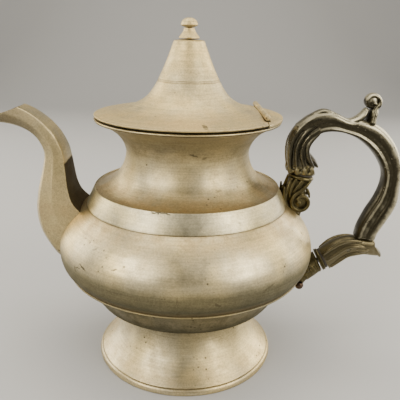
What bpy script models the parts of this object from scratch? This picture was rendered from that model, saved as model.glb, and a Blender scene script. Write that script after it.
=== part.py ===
"""Pewter teapot with a hinged pagoda lid, a faceted gooseneck spout and an insulated scroll handle.

Frame: metres, +Z up, origin on the pot's turning axis in the plane it stands on.
The spout points to -X, the handle to +X, and the pot is symmetric about Y = 0.
Lengths below are written in millimetres and scaled once, in the mesh builders.
"""

import math

import bmesh
import bpy
from mathutils import Matrix, Vector

MM = 0.001
GAP = 0.3

# turned body, radius and height pairs from the foot upwards
TURN_STEPS = 40
WALL = 1.3
FOOT_RADIUS = 61.7
FOOT_RING_TOP = 4.3
FOOT_RING_INNER = 57.5
FOOT_TOP = 44.2
BASE_FLOOR = 44.6
SEAM_RADIUS = 79.1
SEAM_HEIGHT = 68.3
SEAM_LIP = 79.8
SEAM_LIP_WIDTH = 2.7
BELLY_TOP_RADIUS = 66.4
BELLY_TOP = 111.6
BAND_TOP_RADIUS = 60.9
BAND_TOP = 123.2
BAND_EDGE = 0.4
BAND_WALL = 2.0
NECK_FOOT = 122.9
WAIST_RADIUS = 40.2
WAIST_HEIGHT = 144.5
LIP_RADIUS = 59.6
LIP_HEIGHT = 166.3
RIM_TOP = 167.6
RIM_WIDTH = 2.4

# lid and its hinge
LID_RADIUS = 59.8
LID_EDGE_LOW = 168.9
LID_WALL = 1.2
LID_TOP_RADIUS = 9.6
LID_TOP = 214.2
HINGE_X = 46.8
HINGE_Z = 172.7
KNUCKLE_RADIUS = 1.7
KNUCKLE_BORE = 0.95
PIN_RADIUS = 0.7
BARREL_HALF = 31.0
MIDDLE_HALF = 10.0
BEZEL_RADIUS = 44.5

# finial
STUD_RADIUS = 1.5
STUD_BORE = 1.9
NUT_RADIUS = 4.4
FINIAL_STEPS = 24
POT_TOP = 228.0

# spout
SPOUT_WALL = 1.5
SPOUT_EDGE_DROP = 1.8
STRAINER_HOLE = 1.4
STRAINER_ROWS = (2, 3, 4, 3, 2)
STRAINER_X = -82.0
STRAINER_LOWEST = 78.0
STRAINER_PITCH_Y = 6.0
STRAINER_PITCH_Z = 5.4

# handle
DOWEL_RADIUS = 2.0
DOWEL_BORE = 2.3
DOWEL_SPARE = 0.5
CROSS_PIN_RADIUS = 1.1
CROSS_PIN_BORE = 1.4
COLLAR_SIDES = 24
DOWEL_SIDES = 12
UPPER_SEAT = Vector((75.8, 0.0, 127.1))
UPPER_LEAN = Vector((0.19, 0.0, 0.98)).normalized()
LOWER_SEAT = Vector((94.4, 0.0, 68.2))
LOWER_LEAN = Vector((0.88, 0.0, 0.475)).normalized()
CROSS_PIN_AT = 20.5
BALL_RADIUS = 3.1
BALL_X = 81.6

PEWTER = ((0.56, 0.51, 0.42), 0.36, 0.9)
PEWTER_DARK = ((0.34, 0.32, 0.28), 0.42, 0.9)
BLACKENED = ((0.07, 0.065, 0.055), 0.45, 0.75)
GILT_BRONZE = ((0.30, 0.23, 0.12), 0.42, 0.9)
COPPER = ((0.30, 0.16, 0.09), 0.45, 0.9)
BONE = ((0.10, 0.08, 0.06), 0.6, 0.0)
STEEL = ((0.45, 0.44, 0.42), 0.3, 1.0)


def clear_scene():
    for thing in list(bpy.data.objects):
        bpy.data.objects.remove(thing)


def finish_material(name, look):
    colour, roughness, metallic = look
    material = bpy.data.materials.new(name)
    material.use_nodes = True
    shader = material.node_tree.nodes["Principled BSDF"]
    shader.inputs["Base Color"].default_value = (*colour, 1.0)
    shader.inputs["Roughness"].default_value = roughness
    shader.inputs["Metallic"].default_value = metallic
    return material


def add_solid(name, mesh_data, look, origin=(0.0, 0.0, 0.0)):
    """Turns a bmesh drawn in millimetres into a named object whose origin is at the given point."""
    place = Vector(origin)
    bmesh.ops.remove_doubles(mesh_data, verts=mesh_data.verts, dist=1e-4)
    bmesh.ops.recalc_face_normals(mesh_data, faces=mesh_data.faces)
    for vertex in mesh_data.verts:
        vertex.co = (vertex.co - place) * MM
    mesh = bpy.data.meshes.new(name)
    mesh_data.to_mesh(mesh)
    mesh_data.free()
    mesh.shade_smooth()
    mesh.set_sharp_from_angle(angle=math.radians(35))
    solid = bpy.data.objects.new(name, mesh)
    solid.location = place * MM
    bpy.context.collection.objects.link(solid)
    if look is not None:
        mesh.materials.append(finish_material(name, look))
    return solid


def make_cutter(solid):
    solid.hide_render = True
    solid.display_type = "WIRE"
    return solid


def boolean(solid, other, operation):
    step = solid.modifiers.new(operation.title() + " " + other.name, "BOOLEAN")
    step.operation = operation
    step.object = other
    step.solver = "EXACT"


def spread(rows, per_span):
    """Catmull-Rom curve through rows of any number of values, with per_span steps between neighbours."""
    padded = [rows[0], *rows, rows[-1]]
    out = []
    for i in range(1, len(padded) - 2):
        for k in range(per_span):
            t = k / per_span
            row = []
            for a, b, c, d in zip(*padded[i - 1 : i + 3]):
                value = 2 * b + (c - a) * t + (2 * a - 5 * b + 4 * c - d) * t * t
                row.append((value + (3 * b - a - 3 * c + d) * t * t * t) / 2)
            out.append(tuple(row))
    out.append(tuple(rows[-1]))
    return out


def thicken(outline, wall):
    """Closed wall section with level ends: the outline, then a line at the wall's depth on its left."""
    inner = []
    last = len(outline) - 1
    for i, point in enumerate(outline):
        before = Vector(outline[max(i - 1, 0)])
        after = Vector(outline[min(i + 1, last)])
        along = (after - before).normalized()
        if i in (0, last):
            inner.append((point[0] - wall / max(abs(along.y), 0.5), point[1]))
        else:
            inner.append((point[0] - along.y * wall, point[1] + along.x * wall))
    return list(outline) + inner[::-1]


def turned(name, section, look, steps=TURN_STEPS, axis_x=0.0):
    """Solid of revolution about the vertical line at axis_x from a closed radius-height section."""
    mesh_data = bmesh.new()
    verts = [mesh_data.verts.new((axis_x + r, 0.0, z)) for r, z in section]
    sides = [(verts[i - 1], verts[i]) for i in range(len(verts))]
    edges = [mesh_data.edges.new(pair) for pair in sides if max(v.co.x for v in pair) > axis_x]
    bmesh.ops.spin(
        mesh_data,
        geom=verts + edges,
        cent=(axis_x, 0.0, 0.0),
        axis=(0.0, 0.0, 1.0),
        angle=math.tau,
        steps=steps,
        use_merge=True,
    )
    return add_solid(name, mesh_data, look)


def loft(name, rings, look, origin=(0.0, 0.0, 0.0)):
    """Solid skin through rings of equal length, closed by a flat face at each end."""
    mesh_data = bmesh.new()
    loops = [[mesh_data.verts.new(point) for point in ring] for ring in rings]
    count = len(loops[0])
    for first, second in zip(loops, loops[1:]):
        for i in range(count):
            j = (i + 1) % count
            mesh_data.faces.new((first[i], first[j], second[j], second[i]))
    mesh_data.faces.new(loops[0][::-1])
    mesh_data.faces.new(loops[-1])
    return add_solid(name, mesh_data, look, origin)


def box(name, low, high, look=None):
    corners = [(low[0], high[0]), (low[1], high[1])]
    ring = [(corners[0][i], corners[1][j]) for i, j in ((0, 0), (1, 0), (1, 1), (0, 1))]
    return loft(name, [[(x, y, z) for x, y in ring] for z in (low[2], high[2])], look)


def rod(name, start, end, radius, look, sides=16, bore=0.0):
    """Round bar, or a tube when it has a bore, between two points in the plane of X, Y and Z."""
    a, b = Vector(start), Vector(end)
    across = (b - a).orthogonal().normalized()
    other = (b - a).normalized().cross(across)

    def circle(centre, size):
        turn = [math.tau * k / sides for k in range(sides)]
        return [centre + (across * math.cos(t) + other * math.sin(t)) * size for t in turn]

    if not bore:
        return loft(name, [circle(a, radius), circle(b, radius)], look)
    mesh_data = bmesh.new()
    spots = (circle(a, radius), circle(b, radius), circle(b, bore), circle(a, bore))
    loops = [[mesh_data.verts.new(p) for p in ring] for ring in spots]
    for first, second in zip(loops, loops[1:] + loops[:1]):
        for i in range(sides):
            j = (i + 1) % sides
            mesh_data.faces.new((first[i], first[j], second[j], second[i]))
    return add_solid(name, mesh_data, look)


def bar_rings(pairs, depths, per_span=2, sides=8):
    """Rings of a bar whose two edges in the XZ plane are given, with its half depth along Y."""
    rows = [(*one, *two, depth) for (one, two), depth in zip(pairs, depths)]
    smooth = spread(rows, per_span)
    rings = []
    for x1, z1, x2, z2, depth in smooth:
        centre = Vector(((x1 + x2) / 2, 0.0, (z1 + z2) / 2))
        half = Vector(((x2 - x1) / 2, 0.0, (z2 - z1) / 2))
        flat = 1 / math.cos(math.pi / sides)
        turn = [math.tau * (k + 0.5) / sides for k in range(sides)]
        rings.append(
            [centre + half * (math.cos(t) * flat) + Vector((0, depth * flat * math.sin(t), 0)) for t in turn]
        )
    return rings


def belly_outline():
    return [
        (SEAM_RADIUS, SEAM_HEIGHT),
        (83.6, 74.0),
        (85.2, 81.5),
        (83.8, 90.5),
        (79.3, 98.8),
        (73.2, 105.6),
        (BELLY_TOP_RADIUS, BELLY_TOP),
    ]


def base_outline():
    points = [(70.5, 66.2), (67.3, 58.0), (64.7, 52.0), (61.7, 47.0)]
    return [(SEAM_RADIUS, 67.2), *points, (59.8, 45.2), (56.5, BASE_FLOOR)]


def band_section():
    """Sloping band whose thin top edge stands just proud of the neck's foot."""
    outer = [(BELLY_TOP_RADIUS, BELLY_TOP + GAP), (BAND_TOP_RADIUS, BAND_TOP)]
    edge = BAND_TOP_RADIUS - BAND_EDGE
    return [*outer, (edge, BAND_TOP), (edge, BAND_TOP - 1.6), (BELLY_TOP_RADIUS - BAND_WALL, BELLY_TOP + GAP)]


def neck_outline():
    return [
        (BAND_TOP_RADIUS - BAND_EDGE - GAP, NECK_FOOT),
        (55.6, 124.0),
        (50.0, 127.2),
        (45.4, 131.6),
        (42.0, 137.4),
        (WAIST_RADIUS, WAIST_HEIGHT),
        (40.8, 149.6),
        (43.3, 155.0),
        (47.9, 160.0),
        (53.6, 163.8),
        (LIP_RADIUS, LIP_HEIGHT),
    ]


def lid_outline():
    return [
        (LID_RADIUS, LID_EDGE_LOW + 1.0),
        (50.5, 171.7),
        (42.0, 173.3),
        (33.8, 176.0),
        (27.0, 180.2),
        (22.6, 185.4),
        (19.6, 190.6),
        (16.2, 197.6),
        (12.6, 206.2),
        (LID_TOP_RADIUS, LID_TOP),
    ]


def make_body():
    ring = [
        (FOOT_RADIUS, 0.0),
        (FOOT_RADIUS - 0.2, 2.4),
        (FOOT_RADIUS - 1.4, FOOT_RING_TOP),
        (FOOT_RING_INNER, FOOT_RING_TOP),
        (FOOT_RING_INNER, 0.0),
    ]
    turned("foot_ring", ring, PEWTER)
    foot = [(59.6, FOOT_RING_TOP + GAP), (54.2, 9.4), (47.0, 17.0), (41.2, 27.0), (38.5, 37.0)]
    turned("foot", thicken([*foot, (38.2, FOOT_TOP)], WALL), PEWTER)

    outer = base_outline()
    inner = thicken(outer, -WALL)[len(outer) : -1]
    centre = [(0.0, BASE_FLOOR), (0.0, BASE_FLOOR + WALL)]
    lip = [(SEAM_LIP, 68.0), (SEAM_LIP, 67.2)]
    turned("body_base", [*lip, *outer[1:], *centre, *inner, (SEAM_LIP - SEAM_LIP_WIDTH, 68.0)], PEWTER_DARK)

    belly = turned("body_belly", thicken(belly_outline(), WALL), PEWTER)
    boolean(belly, strainer_cutter(), "DIFFERENCE")
    turned("shoulder_band", band_section(), PEWTER)
    turned("neck", thicken(neck_outline(), WALL - 0.1), PEWTER)
    rim_low = LIP_HEIGHT + GAP
    rim_out = LIP_RADIUS + 0.2
    rim_in = rim_out - RIM_WIDTH
    turned("neck_rim", [(rim_in, rim_low), (rim_out, rim_low), (rim_out, RIM_TOP), (rim_in, RIM_TOP)], PEWTER)


def strainer_cutter():
    """Rows of round holes through the belly's wall, under the spout."""
    mesh_data = bmesh.new()
    lying = Matrix.Rotation(math.radians(13.0), 4, "X") @ Matrix.Rotation(math.pi / 2, 4, "Y")
    for row, count in enumerate(STRAINER_ROWS):
        for k in range(count):
            across = (k - (count - 1) / 2) * STRAINER_PITCH_Y
            spot = Vector((STRAINER_X, across, STRAINER_LOWEST + row * STRAINER_PITCH_Z))
            bmesh.ops.create_cone(
                mesh_data,
                cap_ends=True,
                segments=8,
                radius1=STRAINER_HOLE,
                radius2=STRAINER_HOLE,
                depth=16.0,
                matrix=Matrix.Translation(spot) @ lying,
            )
    return make_cutter(add_solid("strainer_drills", mesh_data, None))


def body_envelope():
    """The body's outer form, grown by the gap, that the spout and the sockets are fitted to."""
    base = [(r + GAP, z) for r, z in base_outline()[1:-1]]
    line = [(0.0, 40.0), (58.0, 44.0), *base[::-1], (SEAM_LIP + GAP, 67.0), (SEAM_LIP + GAP, 68.1)]
    line += [(r + GAP, z) for r, z in belly_outline()]
    line += [(BAND_TOP_RADIUS + GAP, BAND_TOP + GAP), (0.0, BAND_TOP + GAP)]
    return make_cutter(turned("body_envelope", line, None))


def spout_half(name, side, envelope, mouth):
    """One of the two castings of the spout, split on the plane of symmetry."""
    rows = [
        # upper edge x, z, lower edge x, z, half width
        (-56.0, 96.0, -70.0, 71.0, 20.0),
        (-65.0, 104.6, -84.0, 71.6, 20.6),
        (-70.2, 109.0, -90.8, 78.4, 20.0),
        (-74.1, 114.0, -97.4, 90.8, 18.6),
        (-76.3, 121.0, -99.8, 103.8, 16.8),
        (-77.4, 130.0, -98.4, 117.2, 15.2),
        (-78.3, 139.0, -94.9, 131.2, 13.6),
        (-79.9, 147.0, -92.8, 142.6, 12.6),
        (-84.0, 155.4, -95.4, 150.8, 12.0),
        (-90.2, 162.9, -99.8, 156.0, 11.6),
        (-98.6, 169.4, -105.6, 159.4, 11.2),
        (-107.2, 173.4, -112.6, 161.6, 10.6),
        (-117.6, 176.0, -121.4, 162.8, 9.6),
        (-128.4, 176.0, -130.6, 163.4, 8.0),
        (-139.4, 175.0, -140.4, 164.2, 5.6),
    ]
    rings = []
    for x1, z1, x2, z2, wide in rows:
        low, high = Vector((x2, 0.0, z2)), Vector((x1, 0.0, z1))
        rise = (high - low).normalized()
        tall = (high - low).length
        # height above the lower edge and distance from the plane of symmetry
        outer = [
            (tall, GAP / 2),
            (tall, wide - SPOUT_EDGE_DROP),
            (0.55 * tall, wide),
            (0.14 * tall, 0.74 * wide),
            (0.0, 0.36 * wide),
            (0.0, GAP / 2),
        ]
        inner = [
            (SPOUT_WALL, GAP / 2),
            (SPOUT_WALL, 0.36 * wide - 0.4),
            (0.14 * tall + 0.9, 0.74 * wide - 1.3),
            (0.55 * tall, wide - SPOUT_WALL),
            (tall - SPOUT_WALL, wide - SPOUT_EDGE_DROP - 1.2),
            (tall - SPOUT_WALL, GAP / 2),
        ]
        rings.append([low + rise * up + Vector((0.0, side * out, 0.0)) for up, out in outer + inner])
    half = loft(name, rings, PEWTER)
    boolean(half, envelope, "DIFFERENCE")
    boolean(half, mouth, "DIFFERENCE")


def make_spout(envelope):
    """Both castings, cut by a prism whose underside is the sloping rim of the pouring mouth."""
    rim = [(-106.4, 172.9), (-112.4, 170.5), (-118.4, 168.1), (-126.0, 166.4), (-150.0, 165.4)]
    outline = [(-104.0, 190.0), *rim, (-150.0, 190.0)]
    mouth = make_cutter(loft("mouth_cut", [[(x, y, z) for x, z in outline] for y in (-30.0, 30.0)], None))
    spout_half("spout_half_front", -1, envelope, mouth)
    spout_half("spout_half_back", 1, envelope, mouth)


def make_lid():
    """Lid shell with its chord cut for the hinge, the locating ring and the finial."""
    outer = lid_outline()
    inner = thicken(outer, LID_WALL)[len(outer) : -1]
    top = [(6.0, 215.2), (STUD_BORE, 215.5), (STUD_BORE, 215.5 - LID_WALL), (6.0, 215.2 - LID_WALL)]
    edge = [(LID_RADIUS - 1.6, LID_EDGE_LOW), (LID_RADIUS - 0.3, LID_EDGE_LOW)]
    shell = turned("lid", [*edge, *outer, *top, *inner], PEWTER)
    reach = BARREL_HALF + GAP
    plain = box("lid_chord_cut", (HINGE_X - GAP, -80.0, 150.0), (80.0, 80.0, 190.0))
    notch = box("lid_barrel_cut", (HINGE_X - KNUCKLE_RADIUS - GAP, -reach, 150.0), (60.0, reach, 190.0))
    boolean(shell, make_cutter(plain), "DIFFERENCE")
    boolean(shell, make_cutter(notch), "DIFFERENCE")
    bezel = [
        (BEZEL_RADIUS, 170.6),
        (BEZEL_RADIUS - 1.0, 170.6),
        (BEZEL_RADIUS - 1.8, 162.4),
        (BEZEL_RADIUS - 0.8, 162.4),
    ]
    turned("lid_bezel", bezel, PEWTER_DARK)


def make_finial():
    """Turned foot and cap on a stud through the lid's crown, held from inside by a nut."""
    foot = [(6.4, 215.8), (6.4, 216.7), (4.9, 218.4), (3.7, 220.2), (3.2, 222.2)]
    turned("finial_base", [(STUD_BORE, 215.8), *foot, (STUD_BORE, 222.2)], PEWTER, FINIAL_STEPS)
    cap = [(3.0, 222.5), (5.1, 223.4), (5.1, 224.1), (4.2, 225.2), (3.4, 226.8), (1.8, 227.8)]
    knob = [(0.0, 206.4), (STUD_RADIUS, 206.4), (STUD_RADIUS, 222.5), *cap, (0.0, POT_TOP)]
    turned("finial_knob", knob, PEWTER, FINIAL_STEPS)
    nut = [(STUD_BORE, 209.2), (NUT_RADIUS, 209.2), (NUT_RADIUS, 212.2), (STUD_BORE, 212.2)]
    turned("finial_nut", nut, STEEL, 6)


def make_hinge():
    """Fixed leaf on the rim, three knuckles and their pin."""
    leaf = [(40.0, 167.9), (60.2, 167.9), (60.4, 169.6), (55.0, 171.1), (50.5, 171.9), (40.0, 173.8)]
    fixed = turned("hinge_leaf", leaf, PEWTER)
    reach = BARREL_HALF + GAP
    keep = box("leaf_chord_cut", (-80.0, -80.0, 150.0), (HINGE_X + GAP, 80.0, 190.0))
    notch = box("leaf_barrel_cut", (0.0, -reach, 150.0), (HINGE_X + KNUCKLE_RADIUS + GAP, reach, 190.0))
    boolean(fixed, make_cutter(keep), "DIFFERENCE")
    boolean(fixed, make_cutter(notch), "DIFFERENCE")

    def knuckle(name, low, high):
        ends = ((HINGE_X, low, HINGE_Z), (HINGE_X, high, HINGE_Z))
        rod(name, *ends, KNUCKLE_RADIUS, PEWTER, 24, KNUCKLE_BORE)

    knuckle("hinge_knuckle_fixed", -MIDDLE_HALF, MIDDLE_HALF)
    knuckle("lid_knuckle_front", -BARREL_HALF, -MIDDLE_HALF - GAP)
    knuckle("lid_knuckle_back", MIDDLE_HALF + GAP, BARREL_HALF)
    pin_half = BARREL_HALF - 0.2
    rod("hinge_pin", (HINGE_X, -pin_half, HINGE_Z), (HINGE_X, pin_half, HINGE_Z), PIN_RADIUS, STEEL, 12)


def make_dowel(name, seat, lean, back, ahead):
    """Steel dowel along the lean, and the cutter for the bores that it sits in."""
    rod(name, seat - lean * back, seat + lean * ahead, DOWEL_RADIUS, STEEL, DOWEL_SIDES)
    ends = (seat - lean * (back + DOWEL_SPARE), seat + lean * (ahead + DOWEL_SPARE))
    return make_cutter(rod(name + "_bore", *ends, DOWEL_BORE, None, DOWEL_SIDES))


def make_disc(name, seat, lean, low, high, radius, look):
    rod(name, seat + lean * low, seat + lean * high, radius, look, COLLAR_SIDES, DOWEL_BORE)


def make_upper_fixing(envelope):
    """Upper socket on the shoulder, its collar and the insulator under the grip; returns the bore."""
    bore = make_dowel("handle_upper_dowel", UPPER_SEAT, UPPER_LEAN, 12.0, 11.0)
    pairs = [
        ((64.0, 97.0), (77.5, 99.0)),
        ((65.0, 104.0), (79.6, 105.0)),
        ((65.4, 109.0), (82.2, 110.0)),
        ((65.8, 114.0), (82.6, 115.0)),
        ((67.0, 119.0), (80.2, 120.0)),
        ((68.4, 124.0), (80.6, 123.4)),
        ((69.9, 128.5), (81.4, 126.3)),
    ]
    rings = bar_rings(pairs, (6.6, 7.4, 8.2, 8.4, 7.4, 6.8, 6.2), 2, 10)
    socket = loft("handle_upper_socket", rings, GILT_BRONZE)
    boolean(socket, envelope, "DIFFERENCE")
    boolean(socket, bore, "DIFFERENCE")
    make_disc("handle_upper_collar", UPPER_SEAT, UPPER_LEAN, 0.8, 3.2, 8.0, GILT_BRONZE)
    make_disc("handle_upper_insulator", UPPER_SEAT, UPPER_LEAN, 3.5, 4.7, 7.0, BONE)
    return bore


def make_grip(bore):
    """Scroll grip from the upper insulator over the fingers down to the lower arm."""
    # inner and outer edge x, z
    pairs = [
        ((84.2, 130.55), (69.3, 133.45)),
        ((85.6, 135.2), (67.0, 138.0)),
        ((80.2, 143.0), (64.6, 146.0)),
        ((80.0, 150.0), (65.2, 155.4)),
        ((82.4, 155.8), (69.6, 163.8)),
        ((88.0, 159.0), (79.2, 170.6)),
        ((95.4, 159.8), (92.6, 172.9)),
        ((103.2, 158.6), (104.2, 169.8)),
        ((111.0, 155.4), (116.0, 168.2)),
        ((119.2, 149.4), (127.2, 162.2)),
        ((126.0, 141.6), (137.0, 151.0)),
        ((130.4, 133.0), (142.6, 137.0)),
        ((130.6, 124.6), (143.4, 124.4)),
        ((127.8, 115.4), (142.8, 110.6)),
        ((122.4, 104.8), (137.2, 98.4)),
        ((118.2, 94.4), (132.6, 89.6)),
        ((116.8, 86.6), (131.4, 84.9)),
    ]
    depths = (7.2, 7.6, 6.8, 6.6, 6.6, 6.6, 6.4, 6.2, 6.6, 6.8, 6.8, 6.6, 6.6, 7.0, 7.0, 6.6, 6.4)
    grip = loft("handle_grip", bar_rings(pairs, depths), BLACKENED)
    boolean(grip, bore, "DIFFERENCE")
    scroll = [
        (113.6, 169.9),
        (120.0, 167.3),
        (119.6, 171.4),
        (123.2, 175.4),
        (123.9, 180.0),
        (121.6, 183.9),
        (117.6, 185.4),
        (113.6, 183.9),
        (111.6, 180.0),
        (112.4, 176.0),
        (114.4, 173.2),
    ]
    loft("handle_thumb_scroll", [[(x, y, z) for x, z in scroll] for y in (-6.2, 6.2)], BLACKENED)


def make_lower_fixing(envelope):
    """Lower arm with its cross pin, insulator and collar, and the socket with its ball."""
    bore = make_dowel("handle_lower_dowel", LOWER_SEAT, LOWER_LEAN, 8.0, 24.0)
    pin_spot = LOWER_SEAT + LOWER_LEAN * CROSS_PIN_AT
    pin_reach = Vector((0.0, 5.94, 0.0))
    pin_cut_reach = Vector((0.0, 9.0, 0.0))
    ends = (pin_spot - pin_cut_reach, pin_spot + pin_cut_reach)
    pin_bore = make_cutter(rod("cross_pin_bore", *ends, CROSS_PIN_BORE, None, 12))
    boolean(bpy.data.objects["handle_lower_dowel"], pin_bore, "DIFFERENCE")
    rod("handle_cross_pin", pin_spot - pin_reach, pin_spot + pin_reach, CROSS_PIN_RADIUS, STEEL, 12)
    arm_pairs = [
        ((136.6, 74.6), (135.2, 71.4)),
        ((132.4, 79.6), (130.2, 72.4)),
        ((131.2, 84.2), (124.8, 73.0)),
        ((124.0, 85.2), (120.6, 73.0)),
        ((116.8, 86.0), (116.8, 72.8)),
        ((110.6, 85.8), (112.8, 71.4)),
        ((103.2, 83.0), (108.0, 67.8)),
        ((98.0, 79.6), (105.0, 64.8)),
        ((93.8, 76.0), (102.4, 62.4)),
    ]
    arm_depths = (3.4, 5.4, 6.2, 6.4, 6.4, 6.4, 6.8, 7.4, 7.8)
    arm = loft("handle_lower_arm", bar_rings(arm_pairs, arm_depths, 1), BLACKENED)
    boolean(arm, bore, "DIFFERENCE")
    boolean(arm, pin_bore, "DIFFERENCE")
    make_disc("handle_lower_insulator", LOWER_SEAT, LOWER_LEAN, 1.6, 2.9, 7.3, BONE)
    make_disc("handle_lower_collar", LOWER_SEAT, LOWER_LEAN, -1.2, 1.3, 8.3, GILT_BRONZE)
    socket_pairs = [
        ((89.6, 73.4), (96.2, 60.9)),
        ((85.6, 71.2), (92.4, 57.2)),
        ((80.6, 67.6), (88.0, 53.4)),
        ((76.0, 61.0), (86.2, 52.2)),
        ((77.6, 52.6), (85.2, 50.9)),
    ]
    socket_rings = bar_rings(socket_pairs, (6.8, 6.8, 6.0, 4.8, 3.4), 1, 10)
    socket = loft("handle_lower_socket", socket_rings, GILT_BRONZE)
    boolean(socket, envelope, "DIFFERENCE")
    boolean(socket, bore, "DIFFERENCE")
    ball = spread([(0.0, 50.6), (2.2, 49.8), (BALL_RADIUS, 47.6), (2.2, 45.4), (0.0, 44.6)], 2)
    turned("handle_socket_ball", ball, COPPER, 16, BALL_X)


def main():
    clear_scene()
    make_body()
    envelope = body_envelope()
    make_spout(envelope)
    make_lid()
    make_finial()
    make_hinge()
    make_grip(make_upper_fixing(envelope))
    make_lower_fixing(envelope)


main()
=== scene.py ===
"""Looks of the pewter teapot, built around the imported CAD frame.

Sizes are written in millimetres and turned into metres when a mesh is made. The pot stands on Z = 0,
its turning axis is the Z axis, the spout points to -X and the handle to +X.
"""

import math

import bmesh
import bpy
from mathutils import Matrix, Vector, noise


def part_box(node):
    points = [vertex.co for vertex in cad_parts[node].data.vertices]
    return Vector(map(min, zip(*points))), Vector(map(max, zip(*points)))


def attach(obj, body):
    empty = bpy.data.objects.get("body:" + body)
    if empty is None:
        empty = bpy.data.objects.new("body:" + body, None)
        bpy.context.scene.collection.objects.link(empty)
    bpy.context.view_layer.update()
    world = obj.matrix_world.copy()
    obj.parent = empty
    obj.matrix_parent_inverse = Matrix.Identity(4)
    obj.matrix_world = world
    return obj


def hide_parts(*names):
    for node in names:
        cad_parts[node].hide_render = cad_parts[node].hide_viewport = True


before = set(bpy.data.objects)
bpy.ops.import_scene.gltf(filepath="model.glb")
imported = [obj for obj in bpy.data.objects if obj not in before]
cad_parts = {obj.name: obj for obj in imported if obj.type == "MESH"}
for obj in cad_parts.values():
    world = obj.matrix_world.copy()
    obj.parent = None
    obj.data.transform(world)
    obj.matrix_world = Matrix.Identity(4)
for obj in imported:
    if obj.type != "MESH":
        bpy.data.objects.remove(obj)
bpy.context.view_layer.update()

MM = 0.001
TURN_STEPS = 176
SMOOTH_ANGLE = math.radians(40.0)
WALL = 1.3
GAP = 0.3
EDGE = 0.35  # how far the cut edges of the walls are rounded
KNOCK_DEPTH = 12.0  # how far in or out of its radius a scratch still marks the wall
HANDLE_MIDDLE = (106.0, 0.0, 126.0)

PEWTER = (0.66, 0.55, 0.315)
STAIN = (0.47, 0.34, 0.16)
OLIVE = (0.11, 0.09, 0.038)
# films of stain and oxide with painted dark reflection in them, for the spout and the waists
SPOUT_STAIN_AND_REFLECTION = (0.035, 0.026, 0.013)
SPOUT_OXIDE_AND_REFLECTION = (0.12, 0.098, 0.062)
WAIST_OXIDE_AND_REFLECTION = (0.085, 0.075, 0.05)


# ---- curves and sections


def spread(rows, per_span):
    """Catmull-Rom curve through rows of any number of values."""
    padded = [rows[0], *rows, rows[-1]]
    out = []
    for i in range(1, len(padded) - 2):
        for k in range(per_span):
            t = k / per_span
            row = []
            for a, b, c, d in zip(*padded[i - 1 : i + 3]):
                value = 2 * b + (c - a) * t + (2 * a - 5 * b + 4 * c - d) * t * t
                row.append((value + (3 * b - a - 3 * c + d) * t * t * t) / 2)
            out.append(tuple(row))
    out.append(tuple(rows[-1]))
    return out


def soften(points, size, steps=3, closed=True, sharpest=22.0):
    """Rounds each corner of a line of points that turns more than the given angle."""
    out = []
    count = len(points)
    for i, point in enumerate(points):
        if not closed and i in (0, count - 1):
            out.append(tuple(point))
            continue
        here = Vector(point)
        back = Vector(points[i - 1]) - here
        ahead = Vector(points[(i + 1) % count]) - here
        if min(back.length, ahead.length) < 1e-6:
            continue
        turn = math.degrees((-back).angle(ahead))
        if turn < sharpest:
            out.append(tuple(point))
            continue
        reach = min(size, 0.45 * back.length, 0.45 * ahead.length)
        start = here + back.normalized() * reach
        end = here + ahead.normalized() * reach
        for k in range(steps + 1):
            t = k / steps
            out.append(tuple(start * (1 - t) ** 2 + here * (2 * t * (1 - t)) + end * t * t))
    return out


def circle(count, closed=False):
    """Cosine and sine at even steps round a full turn; a closed circle repeats its first point."""
    turns = [math.tau * k / count for k in range(count + closed)]
    return [(math.cos(turn), math.sin(turn)) for turn in turns]


def thicken(outline, wall):
    """Closed wall section with level ends: the outline, then a line at the wall's depth on its left."""
    inner = []
    last = len(outline) - 1
    for i, point in enumerate(outline):
        before = Vector(outline[max(i - 1, 0)])
        after = Vector(outline[min(i + 1, last)])
        along = (after - before).normalized()
        if i in (0, last):
            inner.append((point[0] - wall / max(abs(along.y), 0.5), point[1]))
        else:
            inner.append((point[0] - along.y * wall, point[1] + along.x * wall))
    return list(outline) + inner[::-1]


# ---- meshes


def link(thing):
    bpy.context.scene.collection.objects.link(thing)


def place(name, form):
    """Makes an object from a bmesh drawn in millimetres."""
    bmesh.ops.recalc_face_normals(form, faces=form.faces)
    mesh = bpy.data.meshes.new(name)
    bmesh.ops.scale(form, vec=(MM, MM, MM), verts=form.verts)
    form.to_mesh(mesh)
    form.free()
    mesh.shade_smooth()
    mesh.set_sharp_from_angle(angle=SMOOTH_ANGLE)
    piece = bpy.data.objects.new(name, mesh)
    link(piece)
    return piece


def skin(form, rings, closed_ends=True, looped=False):
    """Quads between neighbouring rings of equal length, with a face at each end."""
    loops = [[form.verts.new(point) for point in ring] for ring in rings]
    count = len(loops[0])
    pairs = list(zip(loops, loops[1:]))
    if looped:
        pairs.append((loops[-1], loops[0]))
    for first, second in pairs:
        for i in range(count):
            j = (i + 1) % count
            form.faces.new((first[i], first[j], second[j], second[i]))
    if closed_ends and not looped:
        form.faces.new(loops[0][::-1])
        form.faces.new(loops[-1])


def hand_wobble(point):
    """Small radial unevenness of hand-finished spun metal, in millimetres."""
    x, y, z = point
    far = math.hypot(x, y)
    if far < 1e-6:
        return point
    spot = Vector((x / far * 1.3, y / far * 1.3, z * 0.022))
    shift = 0.16 * noise.noise(spot) * min(far / 30.0, 1.0)
    return (x * (1 + shift / far), y * (1 + shift / far), z)


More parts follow.
